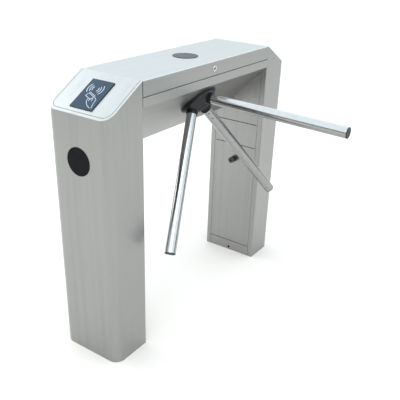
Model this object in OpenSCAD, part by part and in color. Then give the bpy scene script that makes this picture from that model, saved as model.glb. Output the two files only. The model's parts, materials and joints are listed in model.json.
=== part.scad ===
// Bridge-type tripod turnstile: two narrow pedestals, a box beam between them and a
// three-arm hub on the beam's 45 degree underside.
// X runs along the beam, the arm side faces -Y and the floor is Z = 0.
// The origin is on the floor, at the middle of the cabinet.

/* [Cabinet] */
// Height from the floor to the flat of the lid
cabinet_h = 980; // [940:5:1180]
// Length along the beam, over both pedestals
cabinet_l = 1100; // [1020:5:1340]
// Width across the beam
cabinet_w = 256; // [244:2:310]
// Depth of each pedestal along the beam
pedestal_d = 158; // [150:2:192]
// Drop of the sloped top from the beam to the end face
slope_drop = 93; // [70:1:112]
// Radius of the pedestals' outer corners
corner_r = 36; // [24:1:44]
// Sheet thickness of every cabinet panel
sheet_t = 2; // [1.5:0.1:2.4]
// Outside radius of the pedestals' inner folds and of the lid's front fold
fold_r = 3; // [2.5:0.5:5]

/* [Beam] */
// Height of the lid's front skirt
skirt_h = 50; // [44:1:60]
// Height of the front rail below the skirt
rail_h = 33; // [28:1:40]
// Run of the 45 degree underside, across and down
under_run = 210; // [200:2:222]
// Width of the folded flanges at the beam's ends
end_flange_w = 20; // [18:1:24]

/* [Pedestal panels] */
// Width of the pedestals' return flanges beside the door
return_w = 22; // [20:1:26]
// Height of the plinth below the door
plinth_h = 50; // [46:1:60]
// Top of the door
door_top = 540; // [500:5:560]
// Height of the band above the door
band_h = 105; // [90:1:120]
// Width of the seam between neighbouring panels
seam = 2.5; // [2:0.1:3]

/* [Hub and arms] */
// Distance of the hub's centre in from the arm-side face
hub_in = 66; // [60:1:80]
// Diameter of the arm tubes
arm_d = 38; // [32:0.5:46]
// Wall of the arm tubes
arm_wall = 2; // [1.5:0.1:2.4]
// Angle between an arm and the shaft
arm_tilt = 43.4; // [42:0.2:46]
// Distance from the point where the arms' axes meet to an arm's end
arm_reach = 598; // [480:2:720]
// Diameter of the fixed ring against the beam
ring_d = 150; // [140:1:164]
// Diameter of the hub's turning flange
flange_d = 136; // [128:1:138]
// Diameter of the main shaft
shaft_d = 30; // [25:0.5:36]

/* [Lights and readers] */
// Diameter of the indicator lenses
lens_d = 94; // [70:1:115]
// Height of the end lenses above the floor
lens_z = 738; // [700:2:760]
// Length of the reader glass, down the slope
glass_l = 124; // [100:1:130]
// Width of the reader glass
glass_w = 90; // [75:1:108]
// Height of the reader glass above the slope
glass_t = 3; // [2:0.5:6]
// Distance of the reader glass below the middle of the slope
glass_low = 4; // [0:0.5:8]

/* [Hidden] */

$fn = 64;
NEAR = -1;
FAR = 1;
ENTRY = 210;
EXIT = 270;
eps = 1;
far_away = 2000;

// Clearances
fit_gap = 0.05;
slip_gap = 0.1;
weld_gap = 0.2;
seat_gap = 0.3;

// Cabinet
half_w = cabinet_w / 2;
half_l = cabinet_l / 2;
beam_half = half_l - pedestal_d;
slope_a = atan2(slope_drop, pedestal_d);
slope_t = sheet_t / cos(slope_a);
rim_w = 9;
ledge_w = 10;
lid_gap = 1.5;
lens_t = 1.5;

// Beam section
rail_top = cabinet_h - skirt_h - seam;
rail_bottom = cabinet_h - skirt_h - rail_h;
beam_bottom = rail_bottom - under_run;
lip_h = 16;
lip_in = 6;

// Lid hinge: knuckles lie inside the back top edge
knuckle_r = 4;
hinge_pin_r = 2;
leaf_t = 1.5;
leaf_w = 22;
hinge_y = half_w - knuckle_r;
hinge_z = cabinet_h - knuckle_r;
knuckle_gap = 0.5;
knuckle_pitch = 56;
hinge_half = floor((beam_half - 2) / knuckle_pitch) * knuckle_pitch;
back_top = hinge_z - knuckle_r - knuckle_gap;
lid_back = hinge_y - knuckle_r - knuckle_gap;

// Panels on the inner face of a pedestal
panel_half = half_w - return_w - seam / 2;
lip_half = half_w - return_w - 10;
door_bottom = plinth_h + seam / 2 - 0.25;
plinth_top = plinth_h - seam / 2 - 0.25;
door_head = door_top - seam / 2;
band_bottom = door_top + seam / 2;
band_top = door_top + band_h - seam / 2;
head_bottom = door_top + band_h + seam / 2;

// Door and its pins
tray_half = lip_half - 4;
tray_depth = 12;
pin_x = pedestal_d - 8;
pin_z = door_bottom + 7;
pin_r = 3;
ear_y = tray_half + 1;
ear_t = lip_half - ear_y - seat_gap;
lip_foot = pin_z + 4;
lip_top = cabinet_h - skirt_h;
lock_z = door_top - 70;
lock_r = 14;
barrel_r = 9;
spindle_r = 4;
knob_r = 13;
knob_out = [18, 28];
neck_r = 6.5;
cam_len = 45;
cam_in = 26;
strike_in = 20;

// Floor anchors
base_t = 6;
anchor_r = 7;
anchor_out = 40;
anchor_in = 118;
anchor_y = 85;
cable_r = 25;
screw_y = 75;
screw_z = 12;
screw_r = 2;

// Bolts between the beam and the pedestals
bolt_r = 4;
bolt_hole_r = 4.5;
slope_step = end_flange_w / 2 * sqrt(0.5);
bridge_holes = [
    [-half_w + end_flange_w / 2, (rail_top + rail_bottom) / 2],
    [-half_w + 70 + slope_step, rail_bottom - 70 + slope_step],
    [-half_w + 160 + slope_step, rail_bottom - 160 + slope_step],
    [-half_w + under_run + 4, beam_bottom + end_flange_w / 2],
    [half_w - end_flange_w / 2, beam_bottom + 110],
    [half_w - end_flange_w / 2, beam_bottom + 230]
];

// Lid lock
lid_lock_z = cabinet_h - skirt_h / 2 - 1;
lid_barrel_r = 9;
lid_cam_in = 12;

// Hub: measured outward along the shaft from the beam's 45 degree face
hub_y = -half_w + hub_in;
hub_z = rail_bottom - hub_in;
arm_r = arm_d / 2;
stub_r = arm_r - arm_wall - fit_gap;
shaft_r = shaft_d / 2;
apex = -22;
socket_s = arm_r + 47;
collar_r = arm_r + 2;
collar_t = 14;
tube_s = socket_s + collar_t + seat_gap;
arm_screws_at = [10, 37];
stub_end = tube_s + 50;
cap_t = 3;
plug_len = 15;
tube_end = arm_reach - cap_t;
bezel_t = 4;
bezel_bore = shaft_r + 23;
flange_z = bezel_t + 1;
flange_t = 6;
facet_s = 49.5;
face_z = 34;
face_t = 3;
face_r = 22;
shaft_top = face_z - 10;

// Mechanism: depths are counted inward from the beam's 45 degree face
plate_t = 8;
front_z = -sheet_t;
plate_x = [-132, 182];
plate_y = [-138, 52];
bearing_r = shaft_r + 16;
bearing_t = 16;
gear_z = -34;
gear_t = 8;
gear_m = 2.4;
gear_teeth = 45;
pinion_teeth = 15;
gear_r = gear_m * gear_teeth / 2;
pinion_r = gear_m * pinion_teeth / 2;
crank_x = gear_r + pinion_r;
crank_shaft_r = 6;
crank_disc_z = -42;
crank_throw = 18;
crank_pin_r = 4;
crank_pin_end = -56;
damper_r = 26;
disc_z = -72;
disc_t = 8;
disc_r = 62;
notch_half = 7.5;
notch_depth = 14;
rear_z = -98;
shaft_end = -106;
bolt_z = disc_z + disc_t / 2;
lock_bolt_r = 6;
nose_r = 3.5;
nose_len = 12;
bolt_tip = disc_r + 2;
coil_w = 44;
coil_in = disc_r + 16;
coil_len = 50;
bolt_throw = 10;
pillar_r = 7;
pillars = [[-120, 40], [-120, -126], [170, 40], [170, -126]];
post_x = crank_x + crank_throw + 75;
post_r = 5;
spring_z = -50;
wire_r = 0.9;
coil_r = 7;

// Controller: its board, and the blocks on it as x, z, length, height and depth
board_l = 200;
board_h = 130;
board_t = 1.6;
board_off = 10;
board_inset = 8;
board_blocks = [
    [20, 20, 46, 30, 14],
    [90, 70, 36, 36, 8],
    [150, 20, 30, 24, 12],
    [30, 84, 40, 22, 16]
];

// Power supply, which stands on end beside the mechanism
supply_l = 98;
supply_t = 40;
supply_h = 160;

// ---- placing ------------------------------------------------------------------

// Puts a pedestal piece, drawn with X = 0 at its end face, at one end of the beam
module at_end(side) {
    translate([side * half_l, 0, 0])
        mirror([side > 0 ? 1 : 0, 0, 0])
            children();
}

// Puts a piece on the middle of a pedestal's sloped top: X up the slope, Z outward
module on_slope(side) {
    at_end(side)
        translate([pedestal_d / 2, 0, cabinet_h - slope_drop / 2])
            rotate([0, -slope_a, 0])
                children();
}

// Puts a piece where the reader's middle is on the slope
module on_reader(side) {
    on_slope(side)
        translate([-glass_low, 0, 0])
            children();
}

// Puts a piece on the hub's axis: Z outward from the 45 degree face, X along the beam
module on_hub() {
    translate([0, hub_y, hub_z])
        rotate([135, 0, 0])
            children();
}

// Puts a piece along one arm's axis, Z outward from the point where the axes meet
module on_arm(k) {
    on_hub()
        rotate([0, 0, 120 * k])
            translate([0, 0, apex])
                rotate([-arm_tilt, 0, 0])
                    children();
}

// Extrudes an outline drawn in Y and Z along X
module along_x(len) {
    rotate([90, 0, 90])
        linear_extrude(len)
            children();
}

// Extrudes an outline drawn in X and Z along Y, both ways from the middle
module along_y(len) {
    rotate([90, 0, 0])
        linear_extrude(len, center = true)
            children();
}

// ---- shared outlines ------------------------------------------------------------

// Pedestal outline seen from above, drawn in by inset; reach carries it past the inner face
module plan(inset, reach = 0) {
    long = pedestal_d - inset + reach;
    bend = reach > 0 ? 0 : max(fold_r - inset, 0);
    difference() {
        translate([corner_r, -half_w + inset])
            square([long - corner_r, cabinet_w - 2 * inset]);
        if (bend > 0)
            for (s = [-1, 1])
                mirror([0, s > 0 ? 0 : 1])
                    translate([long, half_w - inset])
                        fold_corner(bend);
    }
    translate([inset, -half_w + corner_r])
        square([corner_r, cabinet_w - 2 * corner_r]);
    for (s = [-1, 1])
        translate([corner_r, s * (half_w - corner_r)])
            circle(corner_r - inset);
}

// What a fold of radius r leaves off the corner at the origin, which points to +X and +Y
module fold_corner(r) {
    difference() {
        translate([-r, -r])
            square(r + eps);
        translate([-r, -r])
            circle(r);
    }
}

// Layer that follows the sloped top, from depth a to depth b below it
module slope_layer(a, b) {
    along_y(cabinet_w + 2 * eps)
        polygon([
            [-eps, cabinet_h - slope_drop - eps * tan(slope_a) - a],
            [pedestal_d, cabinet_h - a],
            [pedestal_d + far_away, cabinet_h - a],
            [pedestal_d + far_away, cabinet_h - b],
            [pedestal_d, cabinet_h - b],
            [-eps, cabinet_h - slope_drop - eps * tan(slope_a) - b]
        ]);
}

// Everything above the sloped top
module above_slope(depth = 0) {
    slope_layer(-far_away, depth);
}

// Open beam section, between its outside and a line drawn in by w
module beam_section(w) {
    k = w * (sqrt(2) - 1);
    polygon([
        [-half_w, rail_top],
        [-half_w, rail_bottom],
        [-half_w + under_run, beam_bottom],
        [half_w, beam_bottom],
        [half_w, back_top],
        [half_w - w, back_top],
        [half_w - w, beam_bottom + w],
        [-half_w + under_run + k, beam_bottom + w],
        [-half_w + w, rail_bottom + k],
        [-half_w + w, rail_top]
    ]);
}

// Cylinder along X from a to b
module rod_x(r, a, b) {
    translate([a, 0, 0])
        rotate([0, 90, 0])
            cylinder(r = r, h = b - a);
}

// ---- pedestals ------------------------------------------------------------------

// Bent from one sheet: end face, two sides, return flanges, a rim round the lid and a ledge
module pedestal_shell(side) {
    inner = pedestal_d - sheet_t;
    opening = half_w - return_w;
    step = sheet_t + seat_gap;
    color("silver")
    at_end(side)
    difference() {
        union() {
            difference() {
                linear_extrude(cabinet_h)
                    plan(0);
                translate([0, 0, -eps])
                    linear_extrude(cabinet_h + 2 * eps)
                        plan(sheet_t);
                translate([inner - eps, -opening, -eps])
                    cube([sheet_t + 2 * eps, 2 * opening, cabinet_h + 2 * eps]);
            }
            // joggled lips behind the panels
            for (s = [-1, 1])
                mirror([0, s > 0 ? 1 : 0, 0]) {
                    translate([inner - step, -opening - sheet_t, lip_foot])
                        cube([step + sheet_t / 2, sheet_t, lip_top - lip_foot]);
                    translate([inner - step, -opening - sheet_t, lip_foot])
                        cube([sheet_t, opening - lip_half + sheet_t, lip_top - lip_foot]);
                }
            // rim round the lid's sloped end, and the ledge that carries it
            intersection() {
                linear_extrude(cabinet_h)
                    difference() {
                        plan(0);
                        plan(rim_w, far_away);
                    }
                slope_layer(0, slope_t);
            }
            intersection() {
                linear_extrude(cabinet_h)
                    difference() {
                        plan(rim_w - sheet_t);
                        plan(rim_w, far_away);
                    }
                slope_layer(0, 2 * slope_t + seat_gap);
            }
            intersection() {
                linear_extrude(cabinet_h)
                    difference() {
                        plan(rim_w - sheet_t);
                        plan(rim_w + ledge_w, far_away);
                    }
                slope_layer(slope_t + seat_gap, 2 * slope_t + seat_gap);
            }
        }
        above_slope();
        // the lid passes over the top of the return flanges
        intersection() {
            linear_extrude(cabinet_h + eps)
                plan(rim_w, far_away);
            above_slope(slope_t + seat_gap);
        }
        // hole for the end lens
        translate([0, 0, lens_z])
            rod_x(lens_d / 2 - 2.5, -eps, sheet_t + eps);
        bridge_bolt_holes();
    }
}

// Holes through a pedestal's inner face for the bolts that hold the beam
module bridge_bolt_holes() {
    for (p = bridge_holes)
        translate([0, p[0], p[1]])
            rod_x(bolt_hole_r, pedestal_d - 2 * sheet_t - eps, pedestal_d + eps);
}

// Plate between the return flanges, behind the beam's end; its window lets the cables through
module head_plate(side) {
    top = rail_top + lip_h - 2;
    left = -panel_half + 10;
    right = panel_half - 12;
    low = beam_bottom + end_flange_w;
    slant = rail_bottom - half_w + end_flange_w * sqrt(2);
    color("silver")
    at_end(side)
    difference() {
        translate([pedestal_d - sheet_t, -panel_half, head_bottom])
            cube([sheet_t, 2 * panel_half, top - head_bottom]);
        translate([pedestal_d - sheet_t - eps, 0, 0])
            along_x(sheet_t + 2 * eps)
                intersection() {
                    translate([left, low])
                        square([right - left, far_away]);
                    polygon([
                        [left, slant - left],
                        [far_away, slant - far_away],
                        [far_away, far_away],
                        [left, far_away]
                    ]);
                }
        bridge_bolt_holes();
    }
}

// Band above the door, with a folded foot and the strike for the door's lock
module mid_panel(side) {
    color("silver")
    at_end(side)
    union() {
        translate([pedestal_d - sheet_t, -panel_half, band_bottom])
            cube([sheet_t, 2 * panel_half, band_top - band_bottom]);
        translate([pedestal_d - strike_in - sheet_t, -tray_half, band_bottom])
            cube([strike_in + sheet_t / 2, 2 * tray_half, sheet_t]);
        translate([pedestal_d - tray_depth, -tray_half, band_top - sheet_t])
            cube([tray_depth - sheet_t / 2, 2 * tray_half, sheet_t]);
        translate([pedestal_d - strike_in - sheet_t, -30, lock_z + cam_len - 10])
            cube([sheet_t, 60, band_bottom + sheet_t - lock_z - cam_len + 10]);
    }
}

// Cover over the foot, with a cable notch and two screws
module plinth_panel(side) {
    color("silver")
    at_end(side)
    difference() {
        translate([pedestal_d - sheet_t, -panel_half, sheet_t])
            cube([sheet_t, 2 * panel_half, plinth_top - sheet_t]);
        translate([0, 0, screw_z + 2])
            rod_x(6, pedestal_d - sheet_t - eps, pedestal_d + eps);
        for (s = [-1, 1])
            translate([0, s * screw_y, screw_z])
                rod_x(screw_r + slip_gap, pedestal_d - sheet_t - eps, pedestal_d + eps);
    }
}

// Foot plate with the floor anchors, a cable entry, two tapped lugs and the door's ears
module base_plate(side) {
    edge = sheet_t + weld_gap;
    color("dimgray")
    at_end(side)
    difference() {
        union() {
            linear_extrude(base_t)
                plan(edge);
            for (s = [-1, 1]) {
                translate([pedestal_d - edge - 14, s * screw_y - 7, 0])
                    cube([14, 14, screw_z + 8]);
                // each ear comes up behind its pin, clear of the door's foot as it swings in
                translate([pin_x - 14, s > 0 ? ear_y : -ear_y - ear_t, 0])
                    cube([12, ear_t, pin_z + pin_r + 2]);
                translate([pin_x, s > 0 ? ear_y + ear_t : -ear_y, pin_z])
                    rotate([90, 0, 0])
                        cylinder(r = pin_r + 2, h = ear_t);
            }
        }
        for (x = [anchor_out, anchor_in])
            for (s = [-1, 1])
                translate([x, s * anchor_y, -eps])
                    cylinder(r = anchor_r, h = base_t + 2 * eps);
        translate([pedestal_d / 2, 0, -eps])
            cylinder(r = cable_r, h = base_t + 2 * eps);
        for (s = [-1, 1])
            translate([0, s * screw_y, screw_z])
                rod_x(screw_r + fit_gap, pedestal_d - 30, pedestal_d + eps);
        translate([pin_x, 0, pin_z])
            rotate([90, 0, 0])
                cylinder(r = pin_r + fit_gap, h = cabinet_w, center = true);
    }
}

module plinth_screws() {
    color("gray")
    for (side = [NEAR, FAR])
        at_end(side)
            for (s = [-1, 1])
                translate([0, s * screw_y, screw_z]) {
                    rod_x(screw_r, pedestal_d - sheet_t - 10, pedestal_d + eps);
                    rod_x(4, pedestal_d, pedestal_d + 2);
                }
}

// ---- doors ------------------------------------------------------------------------

// Flat panel with a welded tray; its lower corners hang on two pins
module door(side) {
    inner = pedestal_d - sheet_t;
    color("silver")
    at_end(side)
    difference() {
        union() {
            translate([inner, -panel_half, door_bottom])
                cube([sheet_t, 2 * panel_half, door_head - door_bottom]);
            for (s = [-1, 1])
                translate([inner - tray_depth, s > 0 ? tray_half - sheet_t : -tray_half, door_bottom + 1])
                    cube([tray_depth + sheet_t / 2, sheet_t, door_head - door_bottom - 10]);
            translate([inner - tray_depth, -tray_half, door_head - 9 - sheet_t])
                cube([tray_depth + sheet_t / 2, 2 * tray_half, sheet_t]);
        }
        translate([pin_x, 0, pin_z])
            rotate([90, 0, 0])
                cylinder(r = pin_r + fit_gap, h = cabinet_w, center = true);
        translate([0, 0, lock_z])
            rod_x(barrel_r + slip_gap, inner - eps, pedestal_d + eps);
    }
}

// Headed pins through the door's tray and the ears of the foot plate
module door_hinge_pins() {
    color("gray")
    for (side = [NEAR, FAR])
        at_end(side)
            for (s = [-1, 1])
                translate([pin_x, s * (tray_half - sheet_t - 1), pin_z])
                    rotate([s * -90, 0, 0]) {
                        cylinder(r = pin_r, h = ear_y + ear_t - tray_half + sheet_t + 2);
                        translate([0, 0, -2])
                            cylinder(r = pin_r + 2, h = 2.5);
                    }
}

// Rosette, threaded barrel and nut of a door lock
module lock_body(side) {
    inner = pedestal_d - sheet_t;
    color("dimgray")
    at_end(side)
        translate([0, 0, lock_z])
            difference() {
                union() {
                    rod_x(lock_r, pedestal_d, pedestal_d + 4);
                    rod_x(barrel_r, pedestal_d - cam_in + 3, pedestal_d + 1);
                    rod_x(barrel_r + 4, inner - 5, inner);
                }
                rod_x(spindle_r + slip_gap, pedestal_d - cam_in, pedestal_d + 5);
            }
}

// Round knob, spindle and cam of a door lock; the cam lies level when the door is free
module lock_knob(side) {
    color("dimgray")
    at_end(side)
        translate([0, 0, lock_z])
            union() {
                rod_x(knob_r, pedestal_d + knob_out[0], pedestal_d + knob_out[1]);
                rod_x(neck_r, pedestal_d + 4 + seat_gap, pedestal_d + knob_out[0] + eps);
                rod_x(spindle_r, pedestal_d - cam_in - 3, pedestal_d + 6);
                translate([pedestal_d - cam_in - 1, -6, -6])
                    cube([3, cam_len + 6, 12]);
            }
}

// ---- beam ---------------------------------------------------------------------------

// Folded trough: front rail, 45 degree face, bottom, back wall and end flanges
module bridge_trough() {
    color("silver")
    difference() {
        union() {
            translate([-beam_half, 0, 0])
                along_x(2 * beam_half)
                    beam_section(sheet_t);
            // drip lip behind the lid's skirt
            translate([-beam_half, -half_w, rail_top - sheet_t])
                cube([2 * beam_half, lip_in + sheet_t, sheet_t]);
            translate([-beam_half, -half_w + lip_in, rail_top - sheet_t])
                cube([2 * beam_half, sheet_t, lip_h + sheet_t]);
            for (x = [-beam_half, beam_half - sheet_t])
                translate([x, 0, 0])
                    along_x(sheet_t)
                        beam_section(end_flange_w);
        }
        for (side = [NEAR, FAR])
            at_end(side)
                for (p = bridge_holes)
                    translate([0, p[0], p[1]])
                        rod_x(bolt_hole_r, pedestal_d - eps, pedestal_d + sheet_t + eps);
        on_hub()
            translate([0, 0, -sheet_t - eps])
                cylinder(r = bezel_bore, h = sheet_t + 2 * eps);
    }
}

// Bolts and nuts that clamp the beam's end flanges to the pedestals
module bridge_bolts() {
    color("gray")
    for (side = [NEAR, FAR])
        at_end(side)
            for (p = bridge_holes)
                translate([0, p[0], p[1]]) {
                    rod_x(bolt_r, pedestal_d - sheet_t - 8, pedestal_d + sheet_t + 2);
                    translate([pedestal_d + sheet_t, 0, 0])
                        rotate([0, 90, 0])
                            cylinder(r = 7, h = 5, $fn = 6);
                    translate([pedestal_d - sheet_t - 6, 0, 0])
                        rotate([0, 90, 0])
                            cylinder(r = 7, h = 6, $fn = 6);
                }
}

// ---- lid ----------------------------------------------------------------------------

// Lid outline seen from above: full width over the beam, inside the rims over the slopes
module lid_plan() {
    end_out = rim_w + lid_gap;
    translate([-beam_half, -half_w])
        square([2 * beam_half, half_w + lid_back]);
    for (s = [-1, 1])
        translate([s * half_l, 0])
            mirror([s > 0 ? 1 : 0, 0])
                plan(end_out, end_out + eps);
}

// One sheet: flat top, two sloped ends and the front skirt
module lid() {
    out = half_l + eps;
    low = cabinet_h - slope_drop - eps * tan(slope_a);
    color("lightgray")
    difference() {
        union() {
            intersection() {
                linear_extrude(cabinet_h + eps)
                    lid_plan();
                along_y(cabinet_w + 2 * eps)
                    polygon([
                        [-out, low],
                        [-beam_half, cabinet_h],
                        [beam_half, cabinet_h],
                        [out, low],
                        [out, low - slope_t],
                        [beam_half - sheet_t * tan(slope_a / 2), cabinet_h - sheet_t],
                        [-beam_half + sheet_t * tan(slope_a / 2), cabinet_h - sheet_t],
                        [-out, low - slope_t]
                    ]);
            }
            translate([-beam_half + 1, -half_w, cabinet_h - skirt_h])
                cube([2 * beam_half - 2, sheet_t, skirt_h - sheet_t / 2]);
        }
        // windows behind the reader glasses, hole for the top lens, hole for the lock
        for (side = [NEAR, FAR])
            on_reader(side)
                cube([glass_l - 30, glass_w - 26, 8 * sheet_t], center = true);
        // the front fold
        translate([-beam_half - eps, -half_w, cabinet_h])
            along_x(2 * beam_half + 2 * eps)
                mirror([1, 0])
                    fold_corner(fold_r);
        translate([0, 0, cabinet_h - sheet_t - eps])
            cylinder(r = lens_d / 2 - 2.5, h = sheet_t + 2 * eps);
        translate([0, -half_w, lid_lock_z])
            rotate([90, 0, 0])
                cylinder(r = lid_barrel_r + slip_gap, h = 4 * sheet_t, center = true);
    }
}

// One leaf of the piano hinge, drawn lying flat with its pin along X; parity picks its knuckles
module hinge_leaf(parity) {
    count = round(2 * hinge_half / knuckle_pitch);
    reach = knuckle_r + knuckle_gap;
    low = knuckle_r - sheet_t - leaf_t;
    difference() {
        union() {
            translate([-hinge_half, -leaf_w - reach, low])
                cube([2 * hinge_half, leaf_w, leaf_t]);
            for (i = [parity : 2 : count - 1])
                translate([-hinge_half + i * knuckle_pitch + knuckle_gap / 2, 0, 0]) {
                    translate([0, -reach - 1, low])
                        cube([knuckle_pitch - knuckle_gap, reach + 1, leaf_t]);
                    rod_x(knuckle_r, 0, knuckle_pitch - knuckle_gap);
                }
        }
        rod_x(hinge_pin_r + fit_gap, -hinge_half - eps, hinge_half + eps);
    }
}

module lid_hinge_moving_leaf() {
    color("gray")
    translate([0, hinge_y, hinge_z])
        hinge_leaf(0);
}

module lid_hinge_fixed_leaf() {
    color("gray")
    translate([0, hinge_y, hinge_z])
        rotate([90, 0, 0])
            mirror([0, 0, 1])
                hinge_leaf(1);
}

module lid_hinge_pin() {
    color("gray")
    translate([0, hinge_y, hinge_z])
        rod_x(hinge_pin_r, -hinge_half, hinge_half);
}

// Places a lock piece on the skirt: Z points into the cabinet
module on_skirt() {
    translate([0, -half_w, lid_lock_z])
        rotate([-90, 0, 0])
            children();
}

module lid_lock_body() {
    color("silver")
    on_skirt()
        difference() {
            union() {
                translate([0, 0, -2])
                    cylinder(r = lid_barrel_r + 1.5, h = 2);
                translate([0, 0, -1])
                    cylinder(r = lid_barrel_r, h = lid_cam_in + 1);
            }
            translate([0, 0, -3])
                cylinder(r = 5 + slip_gap, h = lid_cam_in + 4);
        }
}

// Key plug and cam; the cam lies level when the lid is free
module lid_lock_plug() {
    color("silver")
    on_skirt()
        difference() {
            union() {
                translate([0, 0, -1.5])
                    cylinder(r = 5, h = lid_cam_in + 5);
                translate([-5, -5, lid_cam_in + 0.5])
                    cube([33, 10, 2.5]);
            }
            translate([-3, -0.6, -2])
                cube([6, 1.2, 4]);
        }
}

// ---- lights and readers -------------------------------------------------------------

// Smoked lens: a disc outside the sheet and a plug through its hole, drawn along Z
module lens() {
    union() {
        cylinder(r = lens_d / 2, h = lens_t);
        translate([0, 0, -sheet_t - 4])
            cylinder(r = lens_d / 2 - 3, h = sheet_t + 5);
    }
}

// Round board with a ring of lamps and three posts that stand on the lens's plug
module lamp_board() {
    board_r = lens_d / 2 - 8;
    translate([0, 0, -sheet_t - 12])
        union() {
            cylinder(r = board_r, h = 1.6);
            for (i = [0 : 11])
                rotate([0, 0, 30 * i])
                    translate([board_r * 0.65, 0, 1])
                        cylinder(r = 2.5, h = 4);
            for (i = [0 : 2])
                rotate([0, 0, 120 * i + 15])
                    translate([board_r - 4, 0, 1])
                        cylinder(r = 3, h = 7);
        }
}

// Turns a piece drawn along Z so that it faces out of an end face
module on_end(side) {
    at_end(side)
        translate([0, 0, lens_z])
            rotate([0, -90, 0])
                children();
}

module end_lens(side) {
    color("darkslategray")
    on_end(side)
        lens();
}

module end_indicator_boards() {
    color("darkgreen")
    for (side = [NEAR, FAR])
        on_end(side)
            lamp_board();
}

module top_lens() {
    color("darkslategray")
    translate([0, 0, cabinet_h])
        lens();
}

module top_indicator_board() {
    color("darkgreen")
    translate([0, 0, cabinet_h])
        lamp_board();
}

// Glass plate that lies on the lid's slope
module reader_glass(side) {
    color("steelblue")
    on_reader(side)
        translate([-glass_l / 2, -glass_w / 2, 0])
            cube([glass_l, glass_w, glass_t]);
}

// Card reader box under the glass, with its aerial board filling the window
module reader_body(side) {
    win_l = glass_l - 30 - 2;
    win_w = glass_w - 26 - 2;
    color("black")
    on_reader(side)
        union() {
            translate([-win_l / 2, -win_w / 2, -sheet_t - 4])
                cube([win_l, win_w, sheet_t + 4]);
            translate([-win_l / 2 - 8, -win_w / 2 - 8, -sheet_t - 22])
                cube([win_l + 16, win_w + 16, 22]);
        }
}

// ---- hub and arms -------------------------------------------------------------------

// Fixed ring between the 45 degree face and the turning flange
module hub_bezel() {
    color("dimgray")
    on_hub()
        difference() {
            cylinder(r = ring_d / 2, h = bezel_t);
            translate([0, 0, -eps])
                cylinder(r = bezel_bore, h = bezel_t + 2 * eps);
        }
}

// Cast hub: flange, spigot, a block with six flats, and a boss and a stub for each arm
module hub_casting() {
    color("dimgray")
    difference() {
        union() {
            on_hub() {
                translate([0, 0, flange_z])
                    cylinder(r = flange_d / 2, h = flange_t);
                translate([0, 0, 1])
                    cylinder(r = bezel_bore - 4, h = flange_z);
                intersection() {
                    translate([0, 0, flange_z])
                        cylinder(r = flange_d / 2 - 4, h = face_z - flange_z);
                    arm_faces(0, apex, arm_tilt, socket_s);
                    arm_faces(60, 0, 45, facet_s);
                }
            }
            intersection() {
                on_hub()
                    translate([0, 0, flange_z])
                        cylinder(r = flange_d / 2, h = 2 * face_z);
                for (k = [0 : 2])
                    on_arm(k)
                        cylinder(r = collar_r - 0.5, h = socket_s);
            }
            for (k = [0 : 2])
                on_arm(k)
                    translate([0, 0, socket_s - 12])
                        cylinder(r = stub_r, h = stub_end - socket_s + 12);
        }
        on_hub()
            translate([0, 0, -eps])
                cylinder(r = shaft_r + fit_gap, h = shaft_top + eps);
        for (k = [0 : 2])
            on_arm(k)
                arm_screw_holes();
    }
}

// Block bounded by three planes at distance s from a point on the hub's axis
module arm_faces(turn, from, tilt, s) {
    big = 4 * ring_d;
    intersection_for (k = [0 : 2])
        rotate([0, 0, 120 * k + turn])
            translate([0, 0, from])
                rotate([-tilt, 0, 0])
                    translate([-big / 2, -big / 2, s - big])
                        cube(big);
}

// Round cover over the shaft's end screw
module hub_face_plate() {
    color("dimgray")
    on_hub()
        translate([0, 0, face_z])
            cylinder(r1 = face_r, r2 = face_r - 1.5, h = face_t);
}

// Radial holes for an arm's two set screws, in the arm's own frame
module arm_screw_holes() {
    for (z = arm_screws_at)
        translate([0, 0, tube_s + z])
            rotate([90, 0, 0])
                cylinder(r = 2.5 + slip_gap, h = arm_d);
}

module arm(k) {
    color("lightsteelblue")
    on_arm(k)
        difference() {
            translate([0, 0, tube_s])
                cylinder(r = arm_r, h = tube_end - tube_s);
            translate([0, 0, tube_s - eps])
                cylinder(r = arm_r - arm_wall, h = tube_end - tube_s + 2 * eps);
            arm_screw_holes();
        }
}

module arm_collars() {
    color("black")
    for (k = [0 : 2])
        on_arm(k)
            difference() {
                translate([0, 0, socket_s])
                    cylinder(r = collar_r, h = collar_t);
                translate([0, 0, socket_s - eps])
                    cylinder(r = stub_r + fit_gap, h = collar_t + 2 * eps);
            }
}

module arm_end_caps() {
    color("black")
    for (k = [0 : 2])
        on_arm(k) {
            translate([0, 0, tube_end])
                cylinder(r = arm_r, h = cap_t);
            translate([0, 0, tube_end - plug_len])
                cylinder(r = arm_r - arm_wall - fit_gap, h = plug_len + eps);
        }
}

module arm_screws() {
    color("dimgray")
    for (k = [0 : 2])
        on_arm(k)
            for (z = arm_screws_at)
                translate([0, -arm_r + 0.5, tube_s + z])
                    rotate([-90, 0, 0])
                        cylinder(r = 2.5, h = 9);
}

// ---- mechanism ----------------------------------------------------------------------

module main_shaft() {
    color("gray")
    on_hub()
        translate([0, 0, shaft_end])
            cylinder(r = shaft_r, h = shaft_top - shaft_end - seat_gap);
}

module shaft_bearings() {
    color("lightgray")
    on_hub()
        for (z = [front_z - 2 - bearing_t, rear_z + 2])
            translate([0, 0, z])
                difference() {
                    cylinder(r = bearing_r, h = bearing_t);
                    translate([0, 0, -eps])
                        cylinder(r = shaft_r + fit_gap, h = bearing_t + 2 * eps);
                }
}

// Outline shared by the two plates of the mechanism
module plate_blank(z, t) {
    translate([plate_x[0], plate_y[0], z])
        cube([plate_x[1] - plate_x[0], plate_y[1] - plate_y[0], t]);
}

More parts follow.
